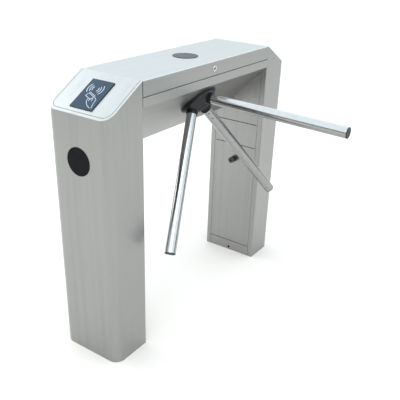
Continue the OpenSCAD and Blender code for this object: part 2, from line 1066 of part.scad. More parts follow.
// Front plate against the 45 degree face, with pillars, bearing boss, damper seat and spring post
module mechanism_frame() {
    boss_h = bearing_t + 4;
    color("lightslategray")
    on_hub()
        difference() {
            union() {
                plate_blank(front_z - plate_t, plate_t);
                translate([0, 0, front_z - boss_h])
                    cylinder(r = bearing_r + 5, h = boss_h);
                for (p = pillars)
                    translate([p[0], p[1], rear_z + plate_t])
                        cylinder(r = pillar_r, h = front_z - rear_z - plate_t - 1);
                translate([post_x, 0, spring_z - 8])
                    cylinder(r = post_r, h = front_z - spring_z + 7);
            }
            translate([0, 0, front_z - 2 - bearing_t])
                cylinder(r = bearing_r + fit_gap, h = bearing_t);
            translate([0, 0, front_z - boss_h - eps])
                cylinder(r = shaft_r + 4, h = boss_h + 2 * eps);
            translate([0, 0, front_z - boss_h - eps])
                cylinder(r = bearing_r + fit_gap, h = 3 + eps);
            translate([crank_x, 0, front_z - plate_t - eps])
                cylinder(r = crank_shaft_r + fit_gap, h = plate_t - 2 + eps);
        }
}

// Rear plate, screwed to the pillars' ends
module mechanism_rear_plate() {
    boss_h = bearing_t + 4;
    color("lightslategray")
    on_hub()
        difference() {
            union() {
                plate_blank(rear_z, plate_t);
                translate([0, 0, rear_z])
                    cylinder(r = bearing_r + 5, h = boss_h);
            }
            translate([0, 0, rear_z + 2])
                cylinder(r = bearing_r + fit_gap, h = boss_h);
            translate([0, 0, rear_z - eps])
                cylinder(r = shaft_r + 4, h = boss_h);
        }
}

// Involute angle, in degrees, of a flank at radius r on a base circle rb
function inv_at(rb, r) = r <= rb ? 0 : tan(acos(rb / r)) * 180 / PI - acos(rb / r);

// Spur gear outline: teeth, module and the play taken off each flank, in degrees
module gear_outline(teeth, m, play) {
    pitch = teeth * m / 2;
    base = pitch * cos(20);
    root = pitch - 1.25 * m;
    tip = pitch + m;
    radii = [root, max(root + 0.3, base), pitch, tip];
    half = [for (r = radii) 90 / teeth + inv_at(base, pitch) - inv_at(base, r) - play];
    polygon([
        for (i = [0 : teeth - 1])
            for (j = [0 : 7])
                let (
                    n = j < 4 ? j : 7 - j,
                    a = 360 * i / teeth + (j < 4 ? -half[n] : half[n])
                )
                    [radii[n] * cos(a), radii[n] * sin(a)]
    ]);
}

module main_gear() {
    color("goldenrod")
    on_hub()
        difference() {
            translate([0, 0, gear_z])
                linear_extrude(gear_t)
                    gear_outline(gear_teeth, gear_m, 0.15);
            translate([0, 0, gear_z - eps])
                cylinder(r = shaft_r + fit_gap, h = gear_t + 2 * eps);
        }
}

// Locking disc with a notch every 60 degrees
module index_disc() {
    color("gray")
    on_hub()
        difference() {
            union() {
                translate([0, 0, disc_z])
                    cylinder(r = disc_r, h = disc_t);
                translate([0, 0, disc_z])
                    cylinder(r = shaft_r + 8, h = disc_t + 10);
            }
            translate([0, 0, disc_z - eps])
                cylinder(r = shaft_r + fit_gap, h = disc_t + 10 + 2 * eps);
            for (i = [0 : 5])
                rotate([0, 0, 30 + 60 * i])
                    translate([disc_r - notch_depth, -notch_half, disc_z - eps])
                        cube([2 * notch_depth, 2 * notch_half, disc_t + 2 * eps]);
        }
}

// Pinion, shaft, disc and pin in one piece; it turns three times for each turn of the hub
module crank() {
    color("goldenrod")
    on_hub()
        translate([crank_x, 0, 0])
            union() {
                translate([0, 0, crank_disc_z])
                    cylinder(r = crank_shaft_r, h = front_z - plate_t + 5 - crank_disc_z);
                translate([0, 0, gear_z])
                    linear_extrude(gear_t)
                        gear_outline(pinion_teeth, gear_m, 0.4);
                translate([0, 0, crank_disc_z])
                    cylinder(r = crank_throw + 6, h = 5);
                translate([crank_throw, 0, crank_pin_end])
                    cylinder(r = crank_pin_r, h = crank_disc_z - crank_pin_end + 1);
            }
}

// Oil-filled damper round the crank's shaft, screwed to the front plate
module rotary_damper() {
    top = front_z - plate_t;
    depth = top - gear_z - gear_t - 2;
    color("black")
    on_hub()
        translate([crank_x, 0, top - depth])
            difference() {
                cylinder(r = damper_r, h = depth);
                translate([0, 0, -eps])
                    cylinder(r = crank_shaft_r + slip_gap, h = depth + 2 * eps);
            }
}

// Extension spring from the crank's pin to the post: an open hook, the coil and a second hook
coil_turns = 11;
coil_start = crank_x + crank_throw + crank_pin_r + 12;
coil_stop = post_x - post_r - 12;
hook_in = crank_pin_r + wire_r + seat_gap;
hook_out = post_r + wire_r + seat_gap;
turn_steps = 12;
coil_points = [
    for (i = [0 : coil_turns * turn_steps])
        [
            coil_start + (coil_stop - coil_start) * i / (coil_turns * turn_steps),
            coil_r * cos(360 * i / turn_steps + 90),
            coil_r * sin(360 * i / turn_steps + 90)
        ]
];
hook_points_in = [
    for (a = [40 : 20 : 320])
        [crank_x + crank_throw + hook_in * cos(a), -hook_in * sin(a), 0]
];
hook_points_out = [
    for (a = [140 : -20 : -140])
        [post_x + hook_out * cos(a), hook_out * sin(a), 0]
];
spring_path = concat(
    hook_points_in,
    [[coil_start - 5, 2, 2]],
    coil_points,
    [[coil_stop + 4, 4, 4]],
    hook_points_out
);

// Round wire swept along a list of points; each ring is the last one carried on without twist
module swept_wire(path, r) {
    sides = 6;
    n = len(path);
    function unit(v) = v / norm(v);
    function along(i) = unit(path[min(i + 1, n - 1)] - path[max(i - 1, 0)]);
    function square_to(u, t) = unit(u - (u * t) * t);
    carried = [
        for (i = 0, u = square_to([0, 0, 1], along(0));
             i < n;
             i = i + 1, u = square_to(u, along(min(i, n - 1))))
            u
    ];
    rings = [
        for (i = [0 : n - 1])
            let (u = square_to(carried[i], along(i)), v = cross(u, along(i)))
                for (j = [0 : sides - 1])
                    path[i] + r * (cos(360 * j / sides) * u + sin(360 * j / sides) * v)
    ];
    walls = [
        for (i = [0 : n - 2])
            for (j = [0 : sides - 1])
                let (k = (j + 1) % sides)
                    [i * sides + j, i * sides + k, (i + 1) * sides + k, (i + 1) * sides + j]
    ];
    first = [for (j = [sides - 1 : -1 : 0]) j];
    last = [for (j = [0 : sides - 1]) (n - 1) * sides + j];
    polyhedron(rings, concat(walls, [first, last]), convexity = 10);
}

module centring_spring() {
    color("silver")
    on_hub()
        translate([0, 0, spring_z])
            swept_wire(spring_path, wire_r);
}

// Places a lock piece so that it points at the index disc: Z runs inward to the shaft
module on_disc(angle) {
    on_hub()
        rotate([0, 0, angle])
            translate([0, 0, bolt_z])
                rotate([0, 90, 0])
                    children();
}

module solenoid(angle) {
    deep = bolt_z - rear_z - plate_t;
    color("darkred")
    on_disc(angle)
        difference() {
            translate([-deep, -coil_w / 2, coil_in])
                cube([2 * deep, coil_w, coil_len]);
            translate([0, 0, coil_in - eps])
                cylinder(r = lock_bolt_r + slip_gap, h = coil_len + 2 * eps);
        }
}

// Plunger whose tapered nose drops into a notch of the index disc
module lock_bolt(angle) {
    color("gray")
    on_disc(angle)
        union() {
            translate([0, 0, bolt_tip])
                cylinder(r1 = nose_r - 1.5, r2 = nose_r, h = nose_len / 3);
            translate([0, 0, bolt_tip + nose_len / 3])
                cylinder(r = nose_r, h = nose_len);
            translate([0, 0, bolt_tip + nose_len])
                cylinder(r = lock_bolt_r, h = coil_in + coil_len - bolt_tip - nose_len + bolt_throw + 3);
            translate([0, 0, coil_in + coil_len + bolt_throw + 1])
                cylinder(r = lock_bolt_r + 3, h = 3);
        }
}

// Controller on four posts against the back wall
module control_board() {
    wall = half_w - sheet_t;
    low = beam_bottom + 80;
    color("darkgreen")
    translate([-beam_half + 40, 0, low])
        union() {
            translate([0, wall - board_off, 0])
                cube([board_l, board_t, board_h]);
            for (x = [board_inset, board_l - board_inset])
                for (z = [board_inset, board_h - board_inset])
                    translate([x, wall - board_off + board_t / 2, z])
                        rotate([-90, 0, 0])
                            cylinder(r = 3, h = board_off - board_t / 2);
            for (p = board_blocks)
                translate([p[0], wall - board_off - p[4], p[1]])
                    cube([p[2], p[4] + 0.5, p[3]]);
        }
}

// Power supply in a sheet case, screwed to the back wall
module power_supply() {
    color("gray")
    translate([beam_half - 30 - supply_l, half_w - sheet_t - supply_t, beam_bottom + 14])
        cube([supply_l, supply_t, supply_h]);
}

// ---- nodes --------------------------------------------------------------------------

pedestal_shell(NEAR);  // near_pedestal_shell
pedestal_shell(FAR);  // far_pedestal_shell
head_plate(NEAR);  // near_head_plate
head_plate(FAR);  // far_head_plate
mid_panel(NEAR);  // near_mid_panel
mid_panel(FAR);  // far_mid_panel
plinth_panel(NEAR);  // near_plinth_panel
plinth_panel(FAR);  // far_plinth_panel
base_plate(NEAR);  // near_base_plate
base_plate(FAR);  // far_base_plate
plinth_screws();
door(NEAR);  // near_door
door(FAR);  // far_door
door_hinge_pins();
lock_body(NEAR);  // near_lock_body
lock_body(FAR);  // far_lock_body
lock_knob(NEAR);  // near_lock_knob
lock_knob(FAR);  // far_lock_knob
bridge_trough();
bridge_bolts();
end_lens(NEAR);  // near_end_lens
end_lens(FAR);  // far_end_lens
end_indicator_boards();
lid();
lid_hinge_fixed_leaf();
lid_hinge_moving_leaf();
lid_hinge_pin();
lid_lock_body();
lid_lock_plug();
reader_glass(NEAR);  // near_reader_glass
reader_glass(FAR);  // far_reader_glass
reader_body(NEAR);  // near_reader_body
reader_body(FAR);  // far_reader_body
top_lens();
top_indicator_board();
hub_bezel();
hub_casting();
hub_face_plate();
arm(0);  // arm_1
arm(1);  // arm_2
arm(2);  // arm_3
arm_collars();
arm_end_caps();
arm_screws();
main_shaft();
shaft_bearings();
mechanism_frame();
mechanism_rear_plate();
main_gear();
index_disc();
crank();
rotary_damper();
centring_spring();
solenoid(ENTRY);  // entry_solenoid
solenoid(EXIT);  // exit_solenoid
lock_bolt(ENTRY);  // entry_lock_bolt
lock_bolt(EXIT);  // exit_lock_bolt
control_board();
power_supply();
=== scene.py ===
import json
import math

import bmesh
import bpy
from mathutils import Matrix, Vector


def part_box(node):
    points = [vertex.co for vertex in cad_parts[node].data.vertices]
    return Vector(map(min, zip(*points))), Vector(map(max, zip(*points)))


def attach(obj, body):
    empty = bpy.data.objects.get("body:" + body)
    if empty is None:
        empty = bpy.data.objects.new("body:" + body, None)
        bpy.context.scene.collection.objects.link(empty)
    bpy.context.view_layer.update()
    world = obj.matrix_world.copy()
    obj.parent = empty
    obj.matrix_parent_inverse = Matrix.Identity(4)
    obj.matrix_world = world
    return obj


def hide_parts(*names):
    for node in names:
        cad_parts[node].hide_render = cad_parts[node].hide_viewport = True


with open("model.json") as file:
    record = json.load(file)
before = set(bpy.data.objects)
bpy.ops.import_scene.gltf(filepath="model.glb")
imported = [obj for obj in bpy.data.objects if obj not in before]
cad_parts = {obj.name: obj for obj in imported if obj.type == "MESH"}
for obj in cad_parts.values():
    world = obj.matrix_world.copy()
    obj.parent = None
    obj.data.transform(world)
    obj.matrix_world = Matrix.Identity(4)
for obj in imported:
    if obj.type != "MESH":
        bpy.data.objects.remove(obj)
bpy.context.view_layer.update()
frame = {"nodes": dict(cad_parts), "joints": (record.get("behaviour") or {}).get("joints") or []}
nodes = frame["nodes"]
joints = {joint["name"]: joint for joint in frame["joints"]}


# ---- camera ---------------------------------------------------------------------
# A 52 mm lens at shoulder height, off the near reader end and the arm side, rolled by
# two degrees, as it is when held in the hand.
CAMERA_AT = Vector((-1.7104, -1.2301, 1.3952))
CAMERA_AZIMUTH = math.radians(-57.06)
CAMERA_ELEVATION = math.radians(26.88)
CAMERA_ROLL = math.radians(2.41)
SENSOR_MM = 36.0
LENS_MM = 51.64
LENS_SHIFT = (-0.0172, 0.0458)
SEES_FROM = 0.05
SEES_TO = 60.0

camera = bpy.data.objects.new("camera", bpy.data.cameras.new("camera"))
bpy.context.scene.collection.objects.link(camera)
bpy.context.scene.camera = camera
camera.data.sensor_width = SENSOR_MM
camera.data.lens = LENS_MM
camera.data.shift_x, camera.data.shift_y = LENS_SHIFT
camera.data.clip_start = SEES_FROM
camera.data.clip_end = SEES_TO
back = Vector((
    math.sin(CAMERA_AZIMUTH) * math.cos(CAMERA_ELEVATION),
    -math.cos(CAMERA_AZIMUTH) * math.cos(CAMERA_ELEVATION),
    math.sin(CAMERA_ELEVATION),
))
right = (-back).cross(Vector((0, 0, 1))).normalized()
up = right.cross(-back)
across = math.cos(CAMERA_ROLL) * right + math.sin(CAMERA_ROLL) * up
upright = math.cos(CAMERA_ROLL) * up - math.sin(CAMERA_ROLL) * right
camera.matrix_world = Matrix.Translation(CAMERA_AT) @ Matrix((
    (across.x, upright.x, back.x, 0),
    (across.y, upright.y, back.y, 0),
    (across.z, upright.z, back.z, 0),
    (0, 0, 0, 1),
))


# ---- studio ---------------------------------------------------------------------
# A plain pale floor inside a tent that is bright overhead and dim along the walls, which
# puts the soft dark line into polished tube. Behind the object it shows as plain white.
TENT_TOP = "#EEF9FF"
TENT_WALL = "#5A5C5E"
BACKDROP = "#FFFFFF"
TENT_STRENGTH = 2.5
FLOOR_PAINT = "#BFB9B4"
FLOOR_REACH = 20.0
FLOOR_ROUGH = 0.9
WALL_ENDS = 0.06
TOP_STARTS = 0.34


def linear(colour):
    """An sRGB hex colour as the linear RGBA that shaders take."""
    channels = [int(colour[i:i + 2], 16) / 255 for i in (1, 3, 5)]
    return [c / 12.92 if c <= 0.04045 else ((c + 0.055) / 1.055) ** 2.4
            for c in channels] + [1.0]


def add(owner, kind, inputs=None, **settings):
    """Adds a shader node with its settings, and links or sets its inputs."""
    made = owner.node_tree.nodes.new("ShaderNode" + kind)
    for name, value in settings.items():
        setattr(made, name, value)
    for name, value in (inputs or {}).items():
        if isinstance(value, bpy.types.NodeSocket):
            owner.node_tree.links.new(value, made.inputs[name])
        else:
            made.inputs[name].default_value = value
    return made


def ramp(owner, factor, stops):
    """A colour ramp through (position, linear colour) stops."""
    made = add(owner, "ValToRGB", {"Fac": factor})
    while len(made.color_ramp.elements) < len(stops):
        made.color_ramp.elements.new(0.5)
    for element, (position, colour) in zip(made.color_ramp.elements, stops):
        element.position = position
        element.color = colour
    return made


tent = bpy.data.worlds.new("tent")
tent.use_nodes = True
tent.node_tree.nodes.clear()
direction = add(tent, "TexCoord")
height = add(tent, "SeparateXYZ", {"Vector": direction.outputs["Generated"]})
walls = ramp(tent, height.outputs["Z"], [
    (WALL_ENDS, linear(TENT_WALL)), (TOP_STARTS, linear(TENT_TOP))])
walls.color_ramp.interpolation = "EASE"
lit = add(tent, "Background", {"Color": walls.outputs["Color"], "Strength": TENT_STRENGTH})
seen = add(tent, "Background", {"Color": linear(BACKDROP), "Strength": 1.0})
ray = add(tent, "LightPath")
both = add(tent, "MixShader", {
    0: ray.outputs["Is Camera Ray"], 1: lit.outputs["Background"],
    2: seen.outputs["Background"]})
add(tent, "OutputWorld", {"Surface": both.outputs["Shader"]})
bpy.context.scene.world = tent

floor_mesh = bpy.data.meshes.new("floor")
floor_mesh.from_pydata(
    [(-FLOOR_REACH, -FLOOR_REACH, 0), (FLOOR_REACH, -FLOOR_REACH, 0),
     (FLOOR_REACH, FLOOR_REACH, 0), (-FLOOR_REACH, FLOOR_REACH, 0)], [], [(0, 1, 2, 3)])
floor = bpy.data.objects.new("floor", floor_mesh)
bpy.context.scene.collection.objects.link(floor)
floor_paint = bpy.data.materials.new("pale_floor_paint")
floor_paint.use_nodes = True
floor_shader = floor_paint.node_tree.nodes["Principled BSDF"]
floor_shader.inputs["Base Color"].default_value = linear(FLOOR_PAINT)
floor_shader.inputs["Roughness"].default_value = FLOOR_ROUGH
floor_mesh.materials.append(floor_paint)


def softbox(name, at, target, size, power):
    """A square area light at one point, turned to another."""
    lamp = bpy.data.objects.new(name, bpy.data.lights.new(name, "AREA"))
    lamp.data.shape = "SQUARE"
    lamp.data.size = size
    lamp.data.energy = power
    lamp.location = at
    lamp.rotation_mode = "QUATERNION"
    lamp.rotation_quaternion = (Vector(target) - Vector(at)).to_track_quat("-Z", "Y")
    bpy.context.scene.collection.objects.link(lamp)


softbox("key", (-2.2, -1.6, 3.2), (0, 0, 0.7), 2.2, 40)
softbox("fill", (2.8, -1.6, 2.2), (0, 0, 0.5), 2.4, 10)
softbox("back", (-0.4, 2.8, 1.8), (0, 0.3, 0), 2.0, 30)

bpy.context.scene.view_settings.view_transform = "Standard"
bpy.context.scene.view_settings.look = "None"


# ---- pedestal sheet -------------------------------------------------------------
# Folded stainless sheet, 2 mm, linished on a belt: a straight upright grain, satin, with
# faint broad streaks where the belt wore. Cut edges are deburred to about half a millimetre.
STEEL_LIGHT = "#9E9E9C"
STEEL_DARK = "#999997"
STEEL_ROUGH = (0.30, 0.36)
LINES_PER_METRE = 900.0
BANDS_PER_METRE = 35.0
SMUDGES_PER_METRE = 7.0
ALONG_BELT = 0.02
RIDGE_STRENGTH = 0.12
RIDGE_HEIGHT = 0.0003
SHEET_EDGE = 0.0006
SHARP = math.radians(20)
FLAT_WITHIN = math.radians(0.5)
SAME_POINT = 1e-6


def surface(material, **inputs):
    """Sets or links inputs of a plain shader; an underscore stands for a space in a name."""
    shader = material.node_tree.nodes["Principled BSDF"]
    for name, value in inputs.items():
        socket = shader.inputs[name.replace("_", " ")]
        if isinstance(value, bpy.types.NodeSocket):
            material.node_tree.links.new(value, socket)
        else:
            socket.default_value = value


def finish_of(name):
    """A new material with the plain shader, and its object coordinates in metres."""
    material = bpy.data.materials.new(name)
    material.use_nodes = True
    return material, add(material, "TexCoord").outputs["Object"]


def brushed(name, grain, light, dark, rough):
    """Linished metal; grain is the direction of the belt, as a unit vector."""
    material, place = finish_of(name)
    # grit lines are 0.2 mm apart on the sheet; they are drawn 1.1 mm apart, so that they show
    stretch = [ALONG_BELT if abs(g) > 0.5 else 1.0 for g in grain]
    lay = add(material, "Mapping", {"Vector": place, "Scale": stretch})
    lines = add(material, "TexNoise", {
        "Vector": lay.outputs["Vector"], "Scale": LINES_PER_METRE, "Detail": 3.0,
        "Roughness": 0.6})
    bands = add(material, "TexNoise", {
        "Vector": lay.outputs["Vector"], "Scale": BANDS_PER_METRE, "Detail": 2.0,
        "Roughness": 0.5})
    smudges = add(material, "TexNoise", {
        "Vector": place, "Scale": SMUDGES_PER_METRE, "Detail": 4.0, "Roughness": 0.55})
    worn = add(material, "Math", {
        0: bands.outputs["Fac"], 1: lines.outputs["Fac"]}, operation="ADD")
    tone = ramp(material, worn.outputs["Value"], [(0.8, linear(dark)), (1.2, linear(light))])
    mixed = add(material, "Math", {
        0: lines.outputs["Fac"], 1: smudges.outputs["Fac"]}, operation="ADD")
    sheen = add(material, "MapRange", {
        "Value": mixed.outputs["Value"], "From Min": 0.7, "From Max": 1.3,
        "To Min": rough[0], "To Max": rough[1]})
    ridge = add(material, "Bump", {
        "Height": lines.outputs["Fac"], "Strength": RIDGE_STRENGTH, "Distance": RIDGE_HEIGHT})
    surface(material, Metallic=1.0, Base_Color=tone.outputs["Color"],
            Roughness=sheen.outputs["Result"], Normal=ridge.outputs["Normal"])
    return material


def dress(name, material, edge=0.0):
    """Gives a CAD node its material, and rounds its sharp edges by a real radius."""
    piece = nodes[name]
    piece.data.materials.clear()
    piece.data.materials.append(material)
    if edge:
        weld = piece.modifiers.new("weld", "WELD")
        weld.merge_threshold = SAME_POINT
        flat = piece.modifiers.new("flat", "DECIMATE")
        flat.decimate_type = "DISSOLVE"
        flat.angle_limit = FLAT_WITHIN
        round_over = piece.modifiers.new("round_over", "BEVEL")
        round_over.width = edge
        round_over.segments = 2
        round_over.limit_method = "ANGLE"
        round_over.angle_limit = SHARP
        round_over.harden_normals = False
        even = piece.modifiers.new("even", "WEIGHTED_NORMAL")
        even.weight = 100
        even.keep_sharp = False


upright_sheet = brushed(
    "stainless_sheet_upright_grain", (0, 0, 1), STEEL_LIGHT, STEEL_DARK, STEEL_ROUGH)
for end in ("near", "far"):
    for part in ("pedestal_shell", "head_plate", "mid_panel", "plinth_panel", "door"):
        dress(f"{end}_{part}", upright_sheet, SHEET_EDGE)


# ---- beam and lid ---------------------------------------------------------------
# The same sheet with the grain along the beam. The trough is folded and bolted between the
# pedestals, and the lid is one blank that runs on down both slopes, with a folded skirt.
long_sheet = brushed(
    "stainless_sheet_long_grain", (1, 0, 0), STEEL_LIGHT, STEEL_DARK, STEEL_ROUGH)
dress("bridge_trough", long_sheet, SHEET_EDGE)
dress("lid", long_sheet, SHEET_EDGE)


# ---- foot plates ----------------------------------------------------------------
# Hot-dip galvanised steel plate, folded up round its edge and welded into each foot. The
# zinc is dull and grey, with crystal patches about a centimetre across.
ZINC_LIGHT = "#9A9D9F"
ZINC_DARK = "#7C8083"
ZINC_ROUGH = (0.4, 0.6)
ZINC_CRYSTAL = 0.012
WEAR_PER_METRE = 12.0


def grained(name, light, dark, rough, size, metallic=0.0, bump=0.1, depth=0.0002):
    """A finish mottled between two colours, with fine bumps; size is the pattern's in metres."""
    material, place = finish_of(name)
    patches = add(material, "TexNoise", {
        "Vector": place, "Scale": 1.0 / size, "Detail": 4.0, "Roughness": 0.6})
    wear = add(material, "TexNoise", {
        "Vector": place, "Scale": WEAR_PER_METRE, "Detail": 3.0, "Roughness": 0.5})
    tone = ramp(material, patches.outputs["Fac"], [(0.35, linear(dark)), (0.65, linear(light))])
    mixed = add(material, "Math", {
        0: patches.outputs["Fac"], 1: wear.outputs["Fac"]}, operation="ADD")
    sheen = add(material, "MapRange", {
        "Value": mixed.outputs["Value"], "From Min": 0.7, "From Max": 1.3,
        "To Min": rough[0], "To Max": rough[1]})
    pits = add(material, "Bump", {
        "Height": patches.outputs["Fac"], "Strength": bump, "Distance": depth})
    surface(material, Metallic=metallic, Base_Color=tone.outputs["Color"],
            Roughness=sheen.outputs["Result"], Normal=pits.outputs["Normal"])
    return material


galvanised = grained("galvanised_steel", ZINC_LIGHT, ZINC_DARK, ZINC_ROUGH, ZINC_CRYSTAL, 1.0)
for end in ("near", "far"):
    dress(f"{end}_base_plate", galvanised, 0.0008)


# ---- screws, bolts and pins -----------------------------------------------------
# Bright zinc-plated steel, turned and rolled: pan-head screws in the plinths with a cross
# recess, hexagon bolts between beam and pedestals, and the doors' pins.
PLATED_LIGHT = "#B9BBBD"
PLATED_DARK = "#A6A8AB"
RECESS_ARM = 0.0022
RECESS_WIDE = 0.0008
RECESS_DEEP = 0.0002
HEAD_RISE = 0.002
HEAD_R = 0.004
KEPT_SHARP = math.radians(30)


def new_piece(name, shape, material, body, at=None, replaces=None):
    """Makes one piece from a bmesh: edges over 30 degrees stay sharp, and the rest are smooth."""
    bmesh.ops.recalc_face_normals(shape, faces=shape.faces)
    mesh = bpy.data.meshes.new(name)
    for face in shape.faces:
        face.smooth = True
    for edge in shape.edges:
        edge.smooth = len(edge.link_faces) == 2 and edge.calc_face_angle(0) < KEPT_SHARP
    shape.to_mesh(mesh)
    shape.free()
    mesh.materials.append(material)
    piece = bpy.data.objects.new(name, mesh)
    bpy.context.scene.collection.objects.link(piece)
    if at is not None:
        piece.matrix_world = at
    bpy.context.view_layer.update()
    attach(piece, body)
    if replaces:
        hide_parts(replaces)
    return piece


def block(shape, low, high, place=Matrix(), edge=0.0):
    """Adds a box between two corners, and chamfers its edges if edge is given."""
    size = [b - a for a, b in zip(low, high)]
    middle = [(a + b) / 2 for a, b in zip(low, high)]
    fit = place @ Matrix.Translation(middle) @ Matrix.Diagonal((*size, 1.0))
    made = bmesh.ops.create_cube(shape, size=1.0, matrix=fit)
    if edge:
        around = {line for vert in made["verts"] for line in vert.link_edges}
        bmesh.ops.bevel(shape, geom=list(around), offset=edge, segments=1, affect="EDGES")


def turned(shape, profile, place=Matrix(), steps=48, closed=False):
    """Revolves (radius, height, cut) points about Z; every second step is cut in by cut."""
    rings = []
    for radius, height_at, *cut in profile:
        if radius == 0:
            rings.append([shape.verts.new(place @ Vector((0, 0, height_at)))] * steps)
            continue
        ring = []
        for i in range(steps):
            r = radius - (cut[0] if cut and i % 2 else 0)
            turn = 2 * math.pi * i / steps
            point = Vector((r * math.cos(turn), r * math.sin(turn), height_at))
            ring.append(shape.verts.new(place @ point))
        rings.append(ring)
    following = rings[1:] + rings[:1] if closed else rings[1:]
    for a, b in zip(rings, following):
        for i in range(steps):
            j = (i + 1) % steps
            corners = list(dict.fromkeys((a[i], a[j], b[j], b[i])))
            if len(corners) > 2:
                shape.faces.new(corners)


def side_of(end):
    """-1 for the near end and +1 for the far one, where the beam runs along X."""
    return -1 if end == "near" else 1


plated = grained("bright_zinc_plate", PLATED_LIGHT, PLATED_DARK, (0.22, 0.36), 0.003, 1.0, 0.05)
for name in ("plinth_screws", "door_hinge_pins", "bridge_bolts"):
    dress(name, plated, 0.0003)

# Painted shade: a near-black finish for thin blocks laid where the screw recesses, the key slots
# and the vent slots are, standing for the shadow inside them.
recess_painted_shade = grained("recess_shadow", "#101112", "#08090A", (0.6, 0.8), 0.002)
screws_low, screws_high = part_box("plinth_screws")
screw_height = (screws_low.z + screws_high.z) / 2
# Painted shade: a thin near-black cross on each screw head's face stands for the shadow inside its
# cross recess.
for end in ("near", "far"):
    cross_recess_shade = bmesh.new()
    # the heads stand off the plinth panel, towards the lane
    plinth_low, plinth_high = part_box(f"{end}_plinth_panel")
    face_x = plinth_high.x + HEAD_RISE if end == "near" else plinth_low.x - HEAD_RISE
    for y in (screws_low.y + HEAD_R, screws_high.y - HEAD_R):
        at = Matrix.Translation((face_x, y, screw_height))
        for half_y, half_z in ((RECESS_ARM, RECESS_WIDE / 2), (RECESS_WIDE / 2, RECESS_ARM)):
            block(cross_recess_shade, (-RECESS_DEEP, -half_y, -half_z), (RECESS_DEEP, half_y, half_z), at)
    new_piece(f"{end}_plinth_screw_recess_shade", cross_recess_shade, recess_painted_shade, "cabinet")


# ---- lid hinge ------------------------------------------------------------------
# A piano hinge of plated steel strip along the back edge. The knuckles of its two leaves
# are rolled in turn round one drawn pin.
hinge_strip = brushed("plated_hinge_strip", (1, 0, 0), PLATED_LIGHT, PLATED_DARK, (0.25, 0.35))
for name in ("lid_hinge_fixed_leaf", "lid_hinge_moving_leaf", "lid_hinge_pin"):
    dress(name, hinge_strip, 0.0003)


# ---- indicator lenses -----------------------------------------------------------
# Smoked acrylic, moulded glossy: a thin disc over a plug that fills the hole in the sheet.
# It is nearly black, and the lamps behind it don't show until they are lit.
SMOKE_LIGHT = "#101214"
SMOKE_DARK = "#0C0E10"
SMOKE_GLOSS = 0.06
smoked = grained("smoked_acrylic", SMOKE_LIGHT, SMOKE_DARK, (0.16, 0.24), 0.03, 0.0, 0.02)
surface(smoked, Specular_IOR_Level=SMOKE_GLOSS)
for name in ("near_end_lens", "far_end_lens", "top_lens"):
    dress(name, smoked, 0.0006)


# ---- lamp boards ----------------------------------------------------------------
# Green circuit boards behind the lenses, with a ring of twelve clear lamps soldered on each;
# every lamp has a flat base ring and a domed tip.
MASK_LIGHT = "#1F6238"
MASK_DARK = "#174E2B"
LAMP_RING = 0.0254
LAMP_R = 0.0025
LAMP_FOOT = -0.0101
LAMP_TOP = -0.0086
LAMP_COUNT = 12
LENS_RISE = 0.0015
# radius and height down a lamp: its base ring, its body and its domed tip
LAMP_PROFILE = [
    (0, LAMP_FOOT), (LAMP_R + 0.0003, LAMP_FOOT), (LAMP_R + 0.0003, LAMP_FOOT + 0.0004),
    (LAMP_R * 0.96, LAMP_FOOT + 0.0006), (LAMP_R * 0.9, LAMP_TOP - 0.0002),
    (LAMP_R * 0.6, LAMP_TOP), (0, LAMP_TOP + 0.0003)]
board_green = grained("solder_mask", MASK_LIGHT, MASK_DARK, (0.25, 0.4), 0.004, 0.0, 0.15)
lamp_clear = grained("lamp_epoxy", "#E9ECEA", "#D9DDDC", (0.08, 0.16), 0.002)
for name in ("end_indicator_boards", "top_indicator_board"):
    dress(name, board_green, 0.0003)


def lens_place(low_corner, high_corner, outward):
    """The frame at the middle of a lens's outer face, with Z out of the sheet."""
    middle = (low_corner + high_corner) / 2
    reach = (high_corner - low_corner) / 2
    face = middle + Vector([o * r for o, r in zip(outward, reach)])
    turn = Vector(outward).to_track_quat("Z", "Y").to_matrix().to_4x4()
    return Matrix.Translation(face) @ turn


for lens, body, outward in (
        ("near_end_lens", "cabinet", (-1, 0, 0)), ("far_end_lens", "cabinet", (1, 0, 0)),
        ("top_lens", "lid", (0, 0, 1))):
    place = lens_place(*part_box(lens), outward) @ Matrix.Translation((0, 0, -LENS_RISE))
    domes = bmesh.new()
    for i in range(LAMP_COUNT):
        spot = (place @ Matrix.Rotation(math.radians(360 / LAMP_COUNT * i), 4, "Z")
                @ Matrix.Translation((LAMP_RING, 0, 0)))
        turned(domes, LAMP_PROFILE, spot, 16)
    new_piece(lens.replace("_lens", "") + "_lamps", domes, lamp_clear, body)


# ---- readers --------------------------------------------------------------------
# A plate of glass on each slope, printed dark blue on its underside, over a moulded box.
# The sign, a hand that holds a card up to radio waves, is screen-printed in pale ink.
PRINT_BLUE = "#0A2836"
PRINT_DEEP = "#082033"
INK = "#98A2AF"
INK_WORN = "#8B95A3"
SLOPE = math.atan2(0.093, 0.158)
GLASS_HALF = 0.0015
INK_RISE = 0.0001
WAVE_CENTRE = (0.0220, 0.0036)
WAVE_RADII = (0.0290, 0.0195, 0.0115)
WAVE_HALF_ANGLE = 38
WAVE_STEP = 4
CAP_ANGLES = (-60, -30, 0, 30, 60)
WAVE_WIDE = 0.0026
LINE_WIDE = 0.0019
CARD = [(0.0062, 0.0116), (-0.0053, -0.0171), (-0.0218, -0.0095), (-0.0103, 0.0192),
        (0.0062, 0.0116)]
STRIPE = [(0.0018, 0.0137), (-0.0097, -0.0150)]
HAND_RIGHT = [(-0.0110, -0.0185), (-0.0150, -0.0262), (-0.0193, -0.0292), (-0.0295, -0.0304),
              (-0.0400, -0.0330), (-0.0523, -0.0364)]
HAND_LEFT = [(-0.0196, 0.0009), (-0.0270, 0.0008), (-0.0342, -0.0032), (-0.0461, -0.0159),
             (-0.0538, -0.0314)]
THUMB = [(-0.0290, -0.0080), (-0.0205, -0.0066), (-0.0150, -0.0115), (-0.0180, -0.0165),
         (-0.0265, -0.0172)]

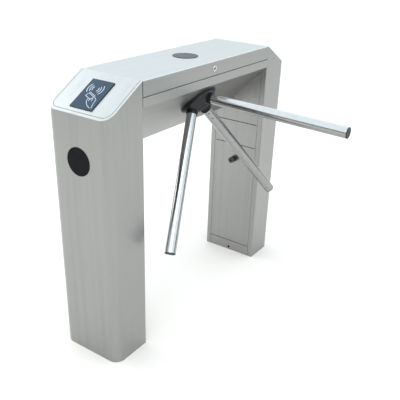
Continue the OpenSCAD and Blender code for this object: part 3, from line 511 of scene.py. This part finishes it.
printed_glass = grained(
    "printed_reader_glass", PRINT_BLUE, PRINT_DEEP, (0.05, 0.1), 0.05, 0.0, 0.01)
surface(printed_glass, Specular_IOR_Level=0.24)
ink = grained("pale_screen_ink", INK, INK_WORN, (0.35, 0.5), 0.001)
moulded_black = grained("moulded_black", "#131415", "#0D0E0F", (0.4, 0.55), 0.0015, 0.0, 0.15)
surface(moulded_black, Specular_IOR_Level=0.3)


def rounded_path(points, steps=6):
    """Points on a smooth curve through the given ones."""
    found = []
    for i in range(len(points) - 1):
        p0, p1, p2, p3 = (
            Vector(points[min(max(i + k, 0), len(points) - 1)]) for k in (-1, 0, 1, 2))
        for s in range(steps):
            t = s / steps
            found.append(0.5 * ((2 * p1) + (p2 - p0) * t + (2 * p0 - 5 * p1 + 4 * p2 - p3) * t * t
                                + (3 * p1 - p0 - 3 * p2 + p3) * t * t * t))
    return found + [Vector(points[-1])]


def stroke(shape, path, width, low_at, high_at):
    """Adds one pen stroke of a sign: a flat ribbon along path with round ends."""
    path = [Vector(p) for p in path]
    left, other = [], []
    for i, point in enumerate(path):
        along = (path[min(i + 1, len(path) - 1)] - path[max(i - 1, 0)]).normalized()
        aside = Vector((-along.y, along.x)) * width / 2
        left.append(point + aside)
        other.append(point - aside)
    first = (path[0] - path[1]).normalized()
    last = (path[-1] - path[-2]).normalized()
    start_cap = [path[0] + Matrix.Rotation(math.radians(a), 2) @ first * width / 2
                 for a in CAP_ANGLES]
    end_cap = [path[-1] + Matrix.Rotation(math.radians(a), 2) @ last * width / 2
               for a in CAP_ANGLES]
    layers = []
    for z in (low_at, high_at):
        layers.append([[shape.verts.new((p.x, p.y, z)) for p in line]
                       for line in (left, other, start_cap, end_cap)])
    for flat_left, flat_other, flat_start, flat_end in layers:
        for i in range(len(path) - 1):
            shape.faces.new((flat_left[i], flat_left[i + 1], flat_other[i + 1], flat_other[i]))
        shape.faces.new([flat_left[0], *flat_start[::-1], flat_other[0]])
        shape.faces.new([flat_other[-1], *flat_end[::-1], flat_left[-1]])
    rims = [lay[0] + lay[3][::-1] + lay[1][::-1] + lay[2][::-1] for lay in layers]
    for i in range(len(rims[0])):
        j = (i + 1) % len(rims[0])
        shape.faces.new((rims[0][i], rims[0][j], rims[1][j], rims[1][i]))


def wave(radius, towards):
    """Points on one arc of the radio waves, on one side of their centre."""
    return [(WAVE_CENTRE[0] + radius * math.sin(math.radians(a)),
             WAVE_CENTRE[1] + towards * radius * math.cos(math.radians(a)))
            for a in range(-WAVE_HALF_ANGLE, WAVE_HALF_ANGLE + 1, WAVE_STEP)]


for end in ("near", "far"):
    dress(f"{end}_reader_glass", printed_glass, 0.0005)
    dress(f"{end}_reader_body", moulded_black, 0.0008)
    glass_low, glass_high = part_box(f"{end}_reader_glass")
    turn = 0 if end == "near" else math.pi
    at = (Matrix.Translation((glass_low + glass_high) / 2) @ Matrix.Rotation(turn, 4, "Z")
          @ Matrix.Rotation(-SLOPE, 4, "Y") @ Matrix.Translation((0, 0, GLASS_HALF)))
    sign = bmesh.new()
    for radius in WAVE_RADII:
        for towards in (-1, 1):
            stroke(sign, wave(radius, towards), WAVE_WIDE, -INK_RISE, INK_RISE)
    for path in (CARD, STRIPE):
        for a, b in zip(path, path[1:]):
            stroke(sign, [a, b], LINE_WIDE, -INK_RISE, INK_RISE)
    for path in (HAND_RIGHT, HAND_LEFT, THUMB):
        stroke(sign, rounded_path(path), LINE_WIDE, -INK_RISE, INK_RISE)
    new_piece(f"{end}_reader_sign", sign, ink, "lid", at)


# ---- lid lock -------------------------------------------------------------------
# A small cam lock through the lid's front skirt: a bright nickel-plated barrel, and a
# dull steel plug that a key turns.
nickel = brushed("nickel_plate", (0, 1, 0), "#CFCFCA", "#C4C4BF", (0.14, 0.24))
dress("lid_lock_body", nickel, 0.0005)
plug_steel = grained("dull_plug_steel", "#5A5B5C", "#48494A", (0.3, 0.42), 0.002, 1.0)
dress("lid_lock_plug", plug_steel, 0.0002)


# ---- door locks -----------------------------------------------------------------
# A rosette, a spindle with a cam, and a round pull in dark plated zinc. The pull's rim is
# knurled, and a disc with a key slot is pressed into its face.
DARK_PLATE_LIGHT = "#505254"
DARK_PLATE_DARK = "#424446"
KNOB_R = 0.013
KNURL_CUT = 0.0005
KNURL_STEPS = 72
KEY_DISC_R = 0.0052
KEY_SLOT_WIDE = 0.001
KEY_SLOT_LONG = 0.0064
# radius, height from the pull's face and cut of the knurled band
KNURL_PROFILE = [
    (KNOB_R - 0.0004, -0.0085), (KNOB_R + 0.0005, -0.0080, KNURL_CUT),
    (KNOB_R + 0.0005, -0.0020, KNURL_CUT), (KNOB_R - 0.0004, -0.0015)]
dark_plate = grained(
    "dark_plated_zinc", DARK_PLATE_LIGHT, DARK_PLATE_DARK, (0.28, 0.4), 0.002, 0.8)
for end in ("near", "far"):
    dress(f"{end}_lock_body", dark_plate, 0.0008)
    dress(f"{end}_lock_knob", dark_plate, 0.0012)
    knob_low, knob_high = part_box(f"{end}_lock_knob")
    lock_at = joints[f"{end}_lock_turn"]["pos_m"]
    lane = -side_of(end)
    tip_x = knob_high.x if lane > 0 else knob_low.x
    at = (Matrix.Translation((tip_x, lock_at[1], lock_at[2]))
          @ Vector((lane, 0, 0)).to_track_quat("Z", "Y").to_matrix().to_4x4())
    grip = bmesh.new()
    turned(grip, KNURL_PROFILE, Matrix(), KNURL_STEPS, True)
    new_piece(f"{end}_knob_knurl", grip, dark_plate, f"{end}_lock", at)
    face = bmesh.new()
    turned(face, [(KEY_DISC_R, -0.0005), (KEY_DISC_R, -0.0001), (KEY_DISC_R - 0.0004, 0.0),
                  (0, 0.0)], Matrix(), 32)
    new_piece(f"{end}_key_disc", face, nickel, f"{end}_lock", at)
    # Painted shade: a thin near-black block in the key disc's face stands for the shadow inside
    # the key slot.
    painted_slot_shade = bmesh.new()
    block(painted_slot_shade, (-KEY_SLOT_WIDE / 2, -KEY_SLOT_LONG / 2, -0.0004),
          (KEY_SLOT_WIDE / 2, KEY_SLOT_LONG / 2, 0.00005))
    new_piece(f"{end}_key_slot_painted_shade", painted_slot_shade, recess_painted_shade, f"{end}_lock", at)


# ---- hub ------------------------------------------------------------------------
# A grey iron casting, machined on its flats and sprayed with dark satin enamel. It turns
# in a fixed ring of black moulding, and a turned plate closes its front.
ENAMEL_LIGHT = "#212325"
ENAMEL_DARK = "#1A1C1E"
hub_enamel = grained("dark_hub_enamel", ENAMEL_LIGHT, ENAMEL_DARK, (0.3, 0.42), 0.0012, 0.0, 0.25)
surface(hub_enamel, Specular_IOR_Level=0.3)
dress("hub_casting", hub_enamel, 0.0012)
dress("hub_face_plate", hub_enamel, 0.0006)
dress("hub_bezel", moulded_black, 0.0008)
HUB_SLANT = math.radians(135)
HUB = Matrix.Translation(joints["hub_spin"]["pos_m"]) @ Matrix.Rotation(HUB_SLANT, 4, "X")


# ---- arms -----------------------------------------------------------------------
# Stainless tube, 38 by 2 mm, polished bright, over a stub of the hub and held by two set
# screws. A ribbed black ring covers each joint, and a flat black cap closes each end.
TUBE_LIGHT = "#A1A2A1"
TUBE_DARK = "#9B9C9B"
APEX = -0.022
ARM_TILT = math.radians(-43.4)
TUBE_R = 0.019
RING_IN = 0.0171
RING_OUT = 0.0210
RING_FOOT = 0.0661
RING_TOP = 0.0799
RIB_CUT = 0.0009
CUP_AT = (0.09001, 0.11701)
CUP_R = 0.0023
SOCKET_R = 0.0011
RIB_COUNT = 4
RIB_PITCH = 0.003
# radius and height along a set screw, with its socket
CUP_PROFILE = [
    (0, -0.0012), (SOCKET_R, -0.0012), (SOCKET_R, 0.0001), (CUP_R - 0.0004, 0.0001),
    (CUP_R, -0.0003), (CUP_R, -0.006), (0, -0.006)]
tube_polish = grained("polished_stainless", TUBE_LIGHT, TUBE_DARK, (0.13, 0.19), 0.02, 1.0, 0.02)
for name in ("arm_1", "arm_2", "arm_3"):
    dress(name, tube_polish, 0.0005)
dress("arm_end_caps", moulded_black, 0.0012)

rings = bmesh.new()
ring_profile = [
    (RING_IN, RING_FOOT), (RING_OUT - 0.0006, RING_FOOT), (RING_OUT, RING_FOOT + 0.0006)]
for i in range(RIB_COUNT):
    foot = RING_FOOT + 0.0018 + RIB_PITCH * i
    ring_profile += [(RING_OUT, foot), (RING_OUT - RIB_CUT, foot + 0.0003),
                     (RING_OUT - RIB_CUT, foot + 0.0012), (RING_OUT, foot + 0.0015)]
ring_profile += [(RING_OUT, RING_TOP - 0.0006), (RING_OUT - 0.0006, RING_TOP), (RING_IN, RING_TOP)]
cups = bmesh.new()
for k in range(3):
    arm = (HUB @ Matrix.Rotation(math.radians(120 * k), 4, "Z") @ Matrix.Translation((0, 0, APEX))
           @ Matrix.Rotation(ARM_TILT, 4, "X"))
    turned(rings, ring_profile, arm, 64, True)
    for z in CUP_AT:
        # set screws with a round socket, 0.1 mm proud of the tube's outside
        screw = (arm @ Matrix.Translation((0, -TUBE_R, z))
                 @ Matrix.Rotation(math.radians(90), 4, "X"))
        turned(cups, CUP_PROFILE, screw, 24)
black_oxide = grained("black_oxide_steel", "#2A2B2C", "#1D1E1F", (0.3, 0.45), 0.001, 0.7)
new_piece("arm_ring_covers", rings, moulded_black, "hub", replaces="arm_collars")
new_piece("arm_set_screws", cups, black_oxide, "hub", replaces="arm_screws")


# ---- shaft and bearings ---------------------------------------------------------
# A ground steel shaft in two ball bearings. Each bearing has an inner and an outer race,
# ground bright, with a pressed shield set in between them.
STEEL_GROUND_LIGHT = "#B4B5B6"
STEEL_GROUND_DARK = "#A2A3A5"
SHAFT_R = 0.015
BEARING_R = 0.031
BEARING_FEET = (-0.020, -0.096)
BEARING_T = 0.016
RACE_T = 0.004
RACE_CLEAR = 0.0001
RACE_CHAMFER = 0.0005
SHIELD_IN = 0.0008
ground = grained(
    "ground_steel", STEEL_GROUND_LIGHT, STEEL_GROUND_DARK, (0.2, 0.34), 0.004, 1.0, 0.04)
dress("main_shaft", ground, 0.0008)
races = bmesh.new()
inner, outer = SHAFT_R + RACE_CLEAR, BEARING_R - RACE_CLEAR
shield_inner, shield_outer = SHAFT_R + RACE_T, BEARING_R - RACE_T
for foot in BEARING_FEET:
    top = foot + BEARING_T
    profile = [
        (inner, foot + RACE_CHAMFER), (inner + RACE_CHAMFER, foot), (shield_inner, foot),
        (shield_inner, foot + SHIELD_IN), (shield_outer, foot + SHIELD_IN), (shield_outer, foot),
        (outer - RACE_CHAMFER, foot), (outer, foot + RACE_CHAMFER),
        (outer, top - RACE_CHAMFER), (outer - RACE_CHAMFER, top), (shield_outer, top),
        (shield_outer, top - SHIELD_IN), (shield_inner, top - SHIELD_IN), (shield_inner, top),
        (inner + RACE_CHAMFER, top), (inner, top - RACE_CHAMFER)]
    turned(races, profile, HUB, 64, True)
new_piece("ball_bearings", races, ground, "cabinet", replaces="shaft_bearings")


# ---- mechanism frame ------------------------------------------------------------
# A machined aluminium front plate, in one piece with its pillars and bearing boss, and a
# rear plate across the pillars. Milling leaves a faint straight grain.
machined = brushed("machined_aluminium", (1, 0, 0), "#BCBEC0", "#B0B2B4", (0.34, 0.46))
dress("mechanism_frame", machined, 0.0008)
dress("mechanism_rear_plate", machined, 0.0008)


# ---- gear, crank and spring -----------------------------------------------------
# A hobbed brass wheel and its pinion with a crank, a ground steel index disc, and a close
# coil of drawn wire that pulls the crank home.
brass = grained("hobbed_brass", "#CBA658", "#BC9549", (0.24, 0.36), 0.003, 1.0, 0.05)
spring_wire = grained("drawn_spring_wire", "#8F9193", "#7E8082", (0.25, 0.35), 0.002, 1.0, 0.05)
dress("main_gear", brass, 0.0003)
dress("crank", brass, 0.0004)
dress("index_disc", ground, 0.0006)
dress("centring_spring", spring_wire)


# ---- lock solenoids -------------------------------------------------------------
# Each is a plated steel yoke round a coil of enamelled wire between two flanges; a ground
# plunger runs through it.
BOLT_PLANE = -0.068
COIL_FOOT = 0.078
COIL_TOP = 0.128
COIL_HALF = 0.022
YOKE_T = 0.003
BORE = 0.0065
BORE_CLEAR = 0.0003
COIL_CLEAR = 0.002
COIL_ROWS = 26
COIL_LOW_R = 0.0172
COIL_HIGH_R = 0.0178
ROW_LIP = 0.0001
BOLT_PLACES = (("entry", 210), ("exit", 270))
enamelled = grained("enamelled_wire", "#7A2A1C", "#5F1D14", (0.2, 0.32), 0.001)
yoke_zinc = grained("yoke_zinc", "#B3B5B7", "#9FA1A4", (0.3, 0.42), 0.004, 1.0)
for kind, angle in BOLT_PLACES:
    at = (HUB @ Matrix.Rotation(math.radians(angle), 4, "Z")
          @ Matrix.Translation((0, 0, BOLT_PLANE)) @ Matrix.Rotation(math.radians(90), 4, "Y"))
    yoke = bmesh.new()
    for foot in (COIL_FOOT, COIL_TOP - YOKE_T):
        for low_y, high_y in ((-COIL_HALF, -BORE), (BORE, COIL_HALF)):
            block(yoke, (-COIL_HALF, low_y, foot), (COIL_HALF, high_y, foot + YOKE_T))
        for low_x, high_x in ((-COIL_HALF, -BORE), (BORE, COIL_HALF)):
            block(yoke, (low_x, -BORE, foot), (high_x, BORE, foot + YOKE_T))
    for low_y in (-COIL_HALF, COIL_HALF - YOKE_T):
        block(yoke, (-COIL_HALF, low_y, COIL_FOOT), (COIL_HALF, low_y + YOKE_T, COIL_TOP))
    new_piece(f"{kind}_solenoid_yoke", yoke, yoke_zinc, "cabinet", at,
              f"{kind}_solenoid")
    winding = bmesh.new()
    wire_foot = COIL_FOOT + YOKE_T + COIL_CLEAR
    wire_top = COIL_TOP - YOKE_T - COIL_CLEAR
    pitch = (COIL_TOP - COIL_FOOT - 2 * YOKE_T - 2 * COIL_CLEAR) / COIL_ROWS
    profile = [(BORE + BORE_CLEAR, wire_foot)]
    for i in range(COIL_ROWS):
        z = wire_foot + pitch * i
        profile += [(COIL_LOW_R, z + ROW_LIP), (COIL_HIGH_R, z + pitch / 2)]
    profile += [(COIL_LOW_R, wire_top - ROW_LIP), (BORE + BORE_CLEAR, wire_top)]
    turned(winding, profile, Matrix(), 40, True)
    new_piece(f"{kind}_solenoid_coil", winding, enamelled, "cabinet", at)
    dress(f"{kind}_lock_bolt", ground, 0.0006)


# ---- damper ---------------------------------------------------------------------
# A sealed oil damper in a moulded black can, round the crank's shaft. It is screwed to the
# mechanism's front plate, and damps the crank's swing.
dress("rotary_damper", moulded_black, 0.0015)


# ---- controller -----------------------------------------------------------------
# A green board on four posts against the back wall, its parts towards the arm side: a relay
# block, a transformer, three moulded chips with legs, and screw terminals along the bottom.
CHIP = "#1C1D1E"
TERMINAL = "#2E7D46"
BOARD_OFF_WALL = 0.010
# place along and up the board, length and height of each chip
CHIPS = ((0.146, 0.066, 0.030, 0.012), (0.146, 0.094, 0.022, 0.009), (0.078, 0.112, 0.040, 0.008))
CHIP_RISE = 0.003
LEG_PITCH = 0.0025
LEG_WIDE = 0.0008
LEG_TALL = 0.0014
LEG_RISE = 0.0012
TERMINAL_COUNT = 12
TERMINAL_PITCH = 0.0078
TERMINAL_WIDE = 0.0072
TERMINAL_RISE = 0.010
board_low, board_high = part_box("control_board")
dress("control_board", board_green, 0.0005)
chip_black = grained("chip_epoxy", CHIP, "#151617", (0.45, 0.6), 0.001)
terminal_green = grained("terminal_moulding", TERMINAL, "#276B3C", (0.35, 0.5), 0.002)
parts = bmesh.new()
legs = bmesh.new()
# the posts end at the wall, and the board's face stands off it
board_face = board_high.y - BOARD_OFF_WALL
for x, z, long, tall in CHIPS:
    chip_x, chip_z = board_low.x + x, board_low.z + z
    block(parts, (chip_x, board_face - CHIP_RISE, chip_z),
          (chip_x + long, board_face, chip_z + tall), edge=0.0004)
    for i in range(int(long / LEG_PITCH)):
        for leg_z in (chip_z - 0.0012, chip_z + tall - 0.0002):
            leg_x = chip_x + 0.001 + LEG_PITCH * i
            block(legs, (leg_x, board_face - LEG_RISE, leg_z),
                  (leg_x + LEG_WIDE, board_face, leg_z + LEG_TALL))
new_piece("control_board_chips", parts, chip_black, "cabinet")
new_piece("control_board_legs", legs, plated, "cabinet")
terminals = bmesh.new()
heads = bmesh.new()
for i in range(TERMINAL_COUNT):
    x = board_low.x + 0.020 + TERMINAL_PITCH * i
    block(terminals, (x, board_face - TERMINAL_RISE, board_low.z + 0.004),
          (x + TERMINAL_WIDE, board_face, board_low.z + 0.015), edge=0.0005)
    turned(heads, [(0, 0.0), (0.0022, 0.0), (0.0022, 0.0004), (0, 0.0004)],
           Matrix.Translation((
               x + TERMINAL_WIDE / 2, board_face - TERMINAL_RISE, board_low.z + 0.0095))
           @ Matrix.Rotation(math.radians(90), 4, "X"), 16)
new_piece("control_board_terminals", terminals, terminal_green, "cabinet")
new_piece("control_board_terminal_screws", heads, plated, "cabinet")


# ---- power supply ---------------------------------------------------------------
# A folded sheet case that stands on end, screwed to the back wall. Two columns of slots
# let its heat out, over a row of black screw terminals at its foot.
SLOT_LONG = 0.026
SLOT_TALL = 0.0024
SLOT_COLUMNS = 2
SLOT_ROWS = 14
SLOT_ACROSS = 0.036
SLOT_UP = 0.0075
STRIP_COUNT = 8
STRIP_PITCH = 0.0094
STRIP_WIDE = 0.0088
STRIP_RISE = 0.009
case_sheet = brushed("supply_case_sheet", (0, 0, 1), "#A9ABAD", "#9FA1A3", (0.38, 0.5))
dress("power_supply", case_sheet, 0.001)
supply_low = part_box("power_supply")[0]
# Painted shade: each vent slot is a thin near-black block on the case's face, standing for the
# dark inside the case.
painted_vent_shade = bmesh.new()
for column in range(SLOT_COLUMNS):
    for row in range(SLOT_ROWS):
        x = supply_low.x + 0.018 + SLOT_ACROSS * column
        z = supply_low.z + 0.045 + SLOT_UP * row
        block(painted_vent_shade, (x, supply_low.y - 0.0001, z),
              (x + SLOT_LONG, supply_low.y + 0.0004, z + SLOT_TALL))
new_piece("power_supply_vent_painted_shade", painted_vent_shade, recess_painted_shade, "cabinet")
strip = bmesh.new()
tips = bmesh.new()
for i in range(STRIP_COUNT):
    x = supply_low.x + 0.012 + STRIP_PITCH * i
    block(strip, (x, supply_low.y - STRIP_RISE, supply_low.z + 0.008),
          (x + STRIP_WIDE, supply_low.y, supply_low.z + 0.026), edge=0.0006)
    turned(tips, [(0, 0.0), (0.003, 0.0), (0.003, 0.0005), (0, 0.0005)],
           Matrix.Translation((
               x + STRIP_WIDE / 2, supply_low.y - STRIP_RISE, supply_low.z + 0.017))
           @ Matrix.Rotation(math.radians(90), 4, "X"), 16)
new_piece("power_supply_terminals", strip, moulded_black, "cabinet")
new_piece("power_supply_terminal_screws", tips, plated, "cabinet")
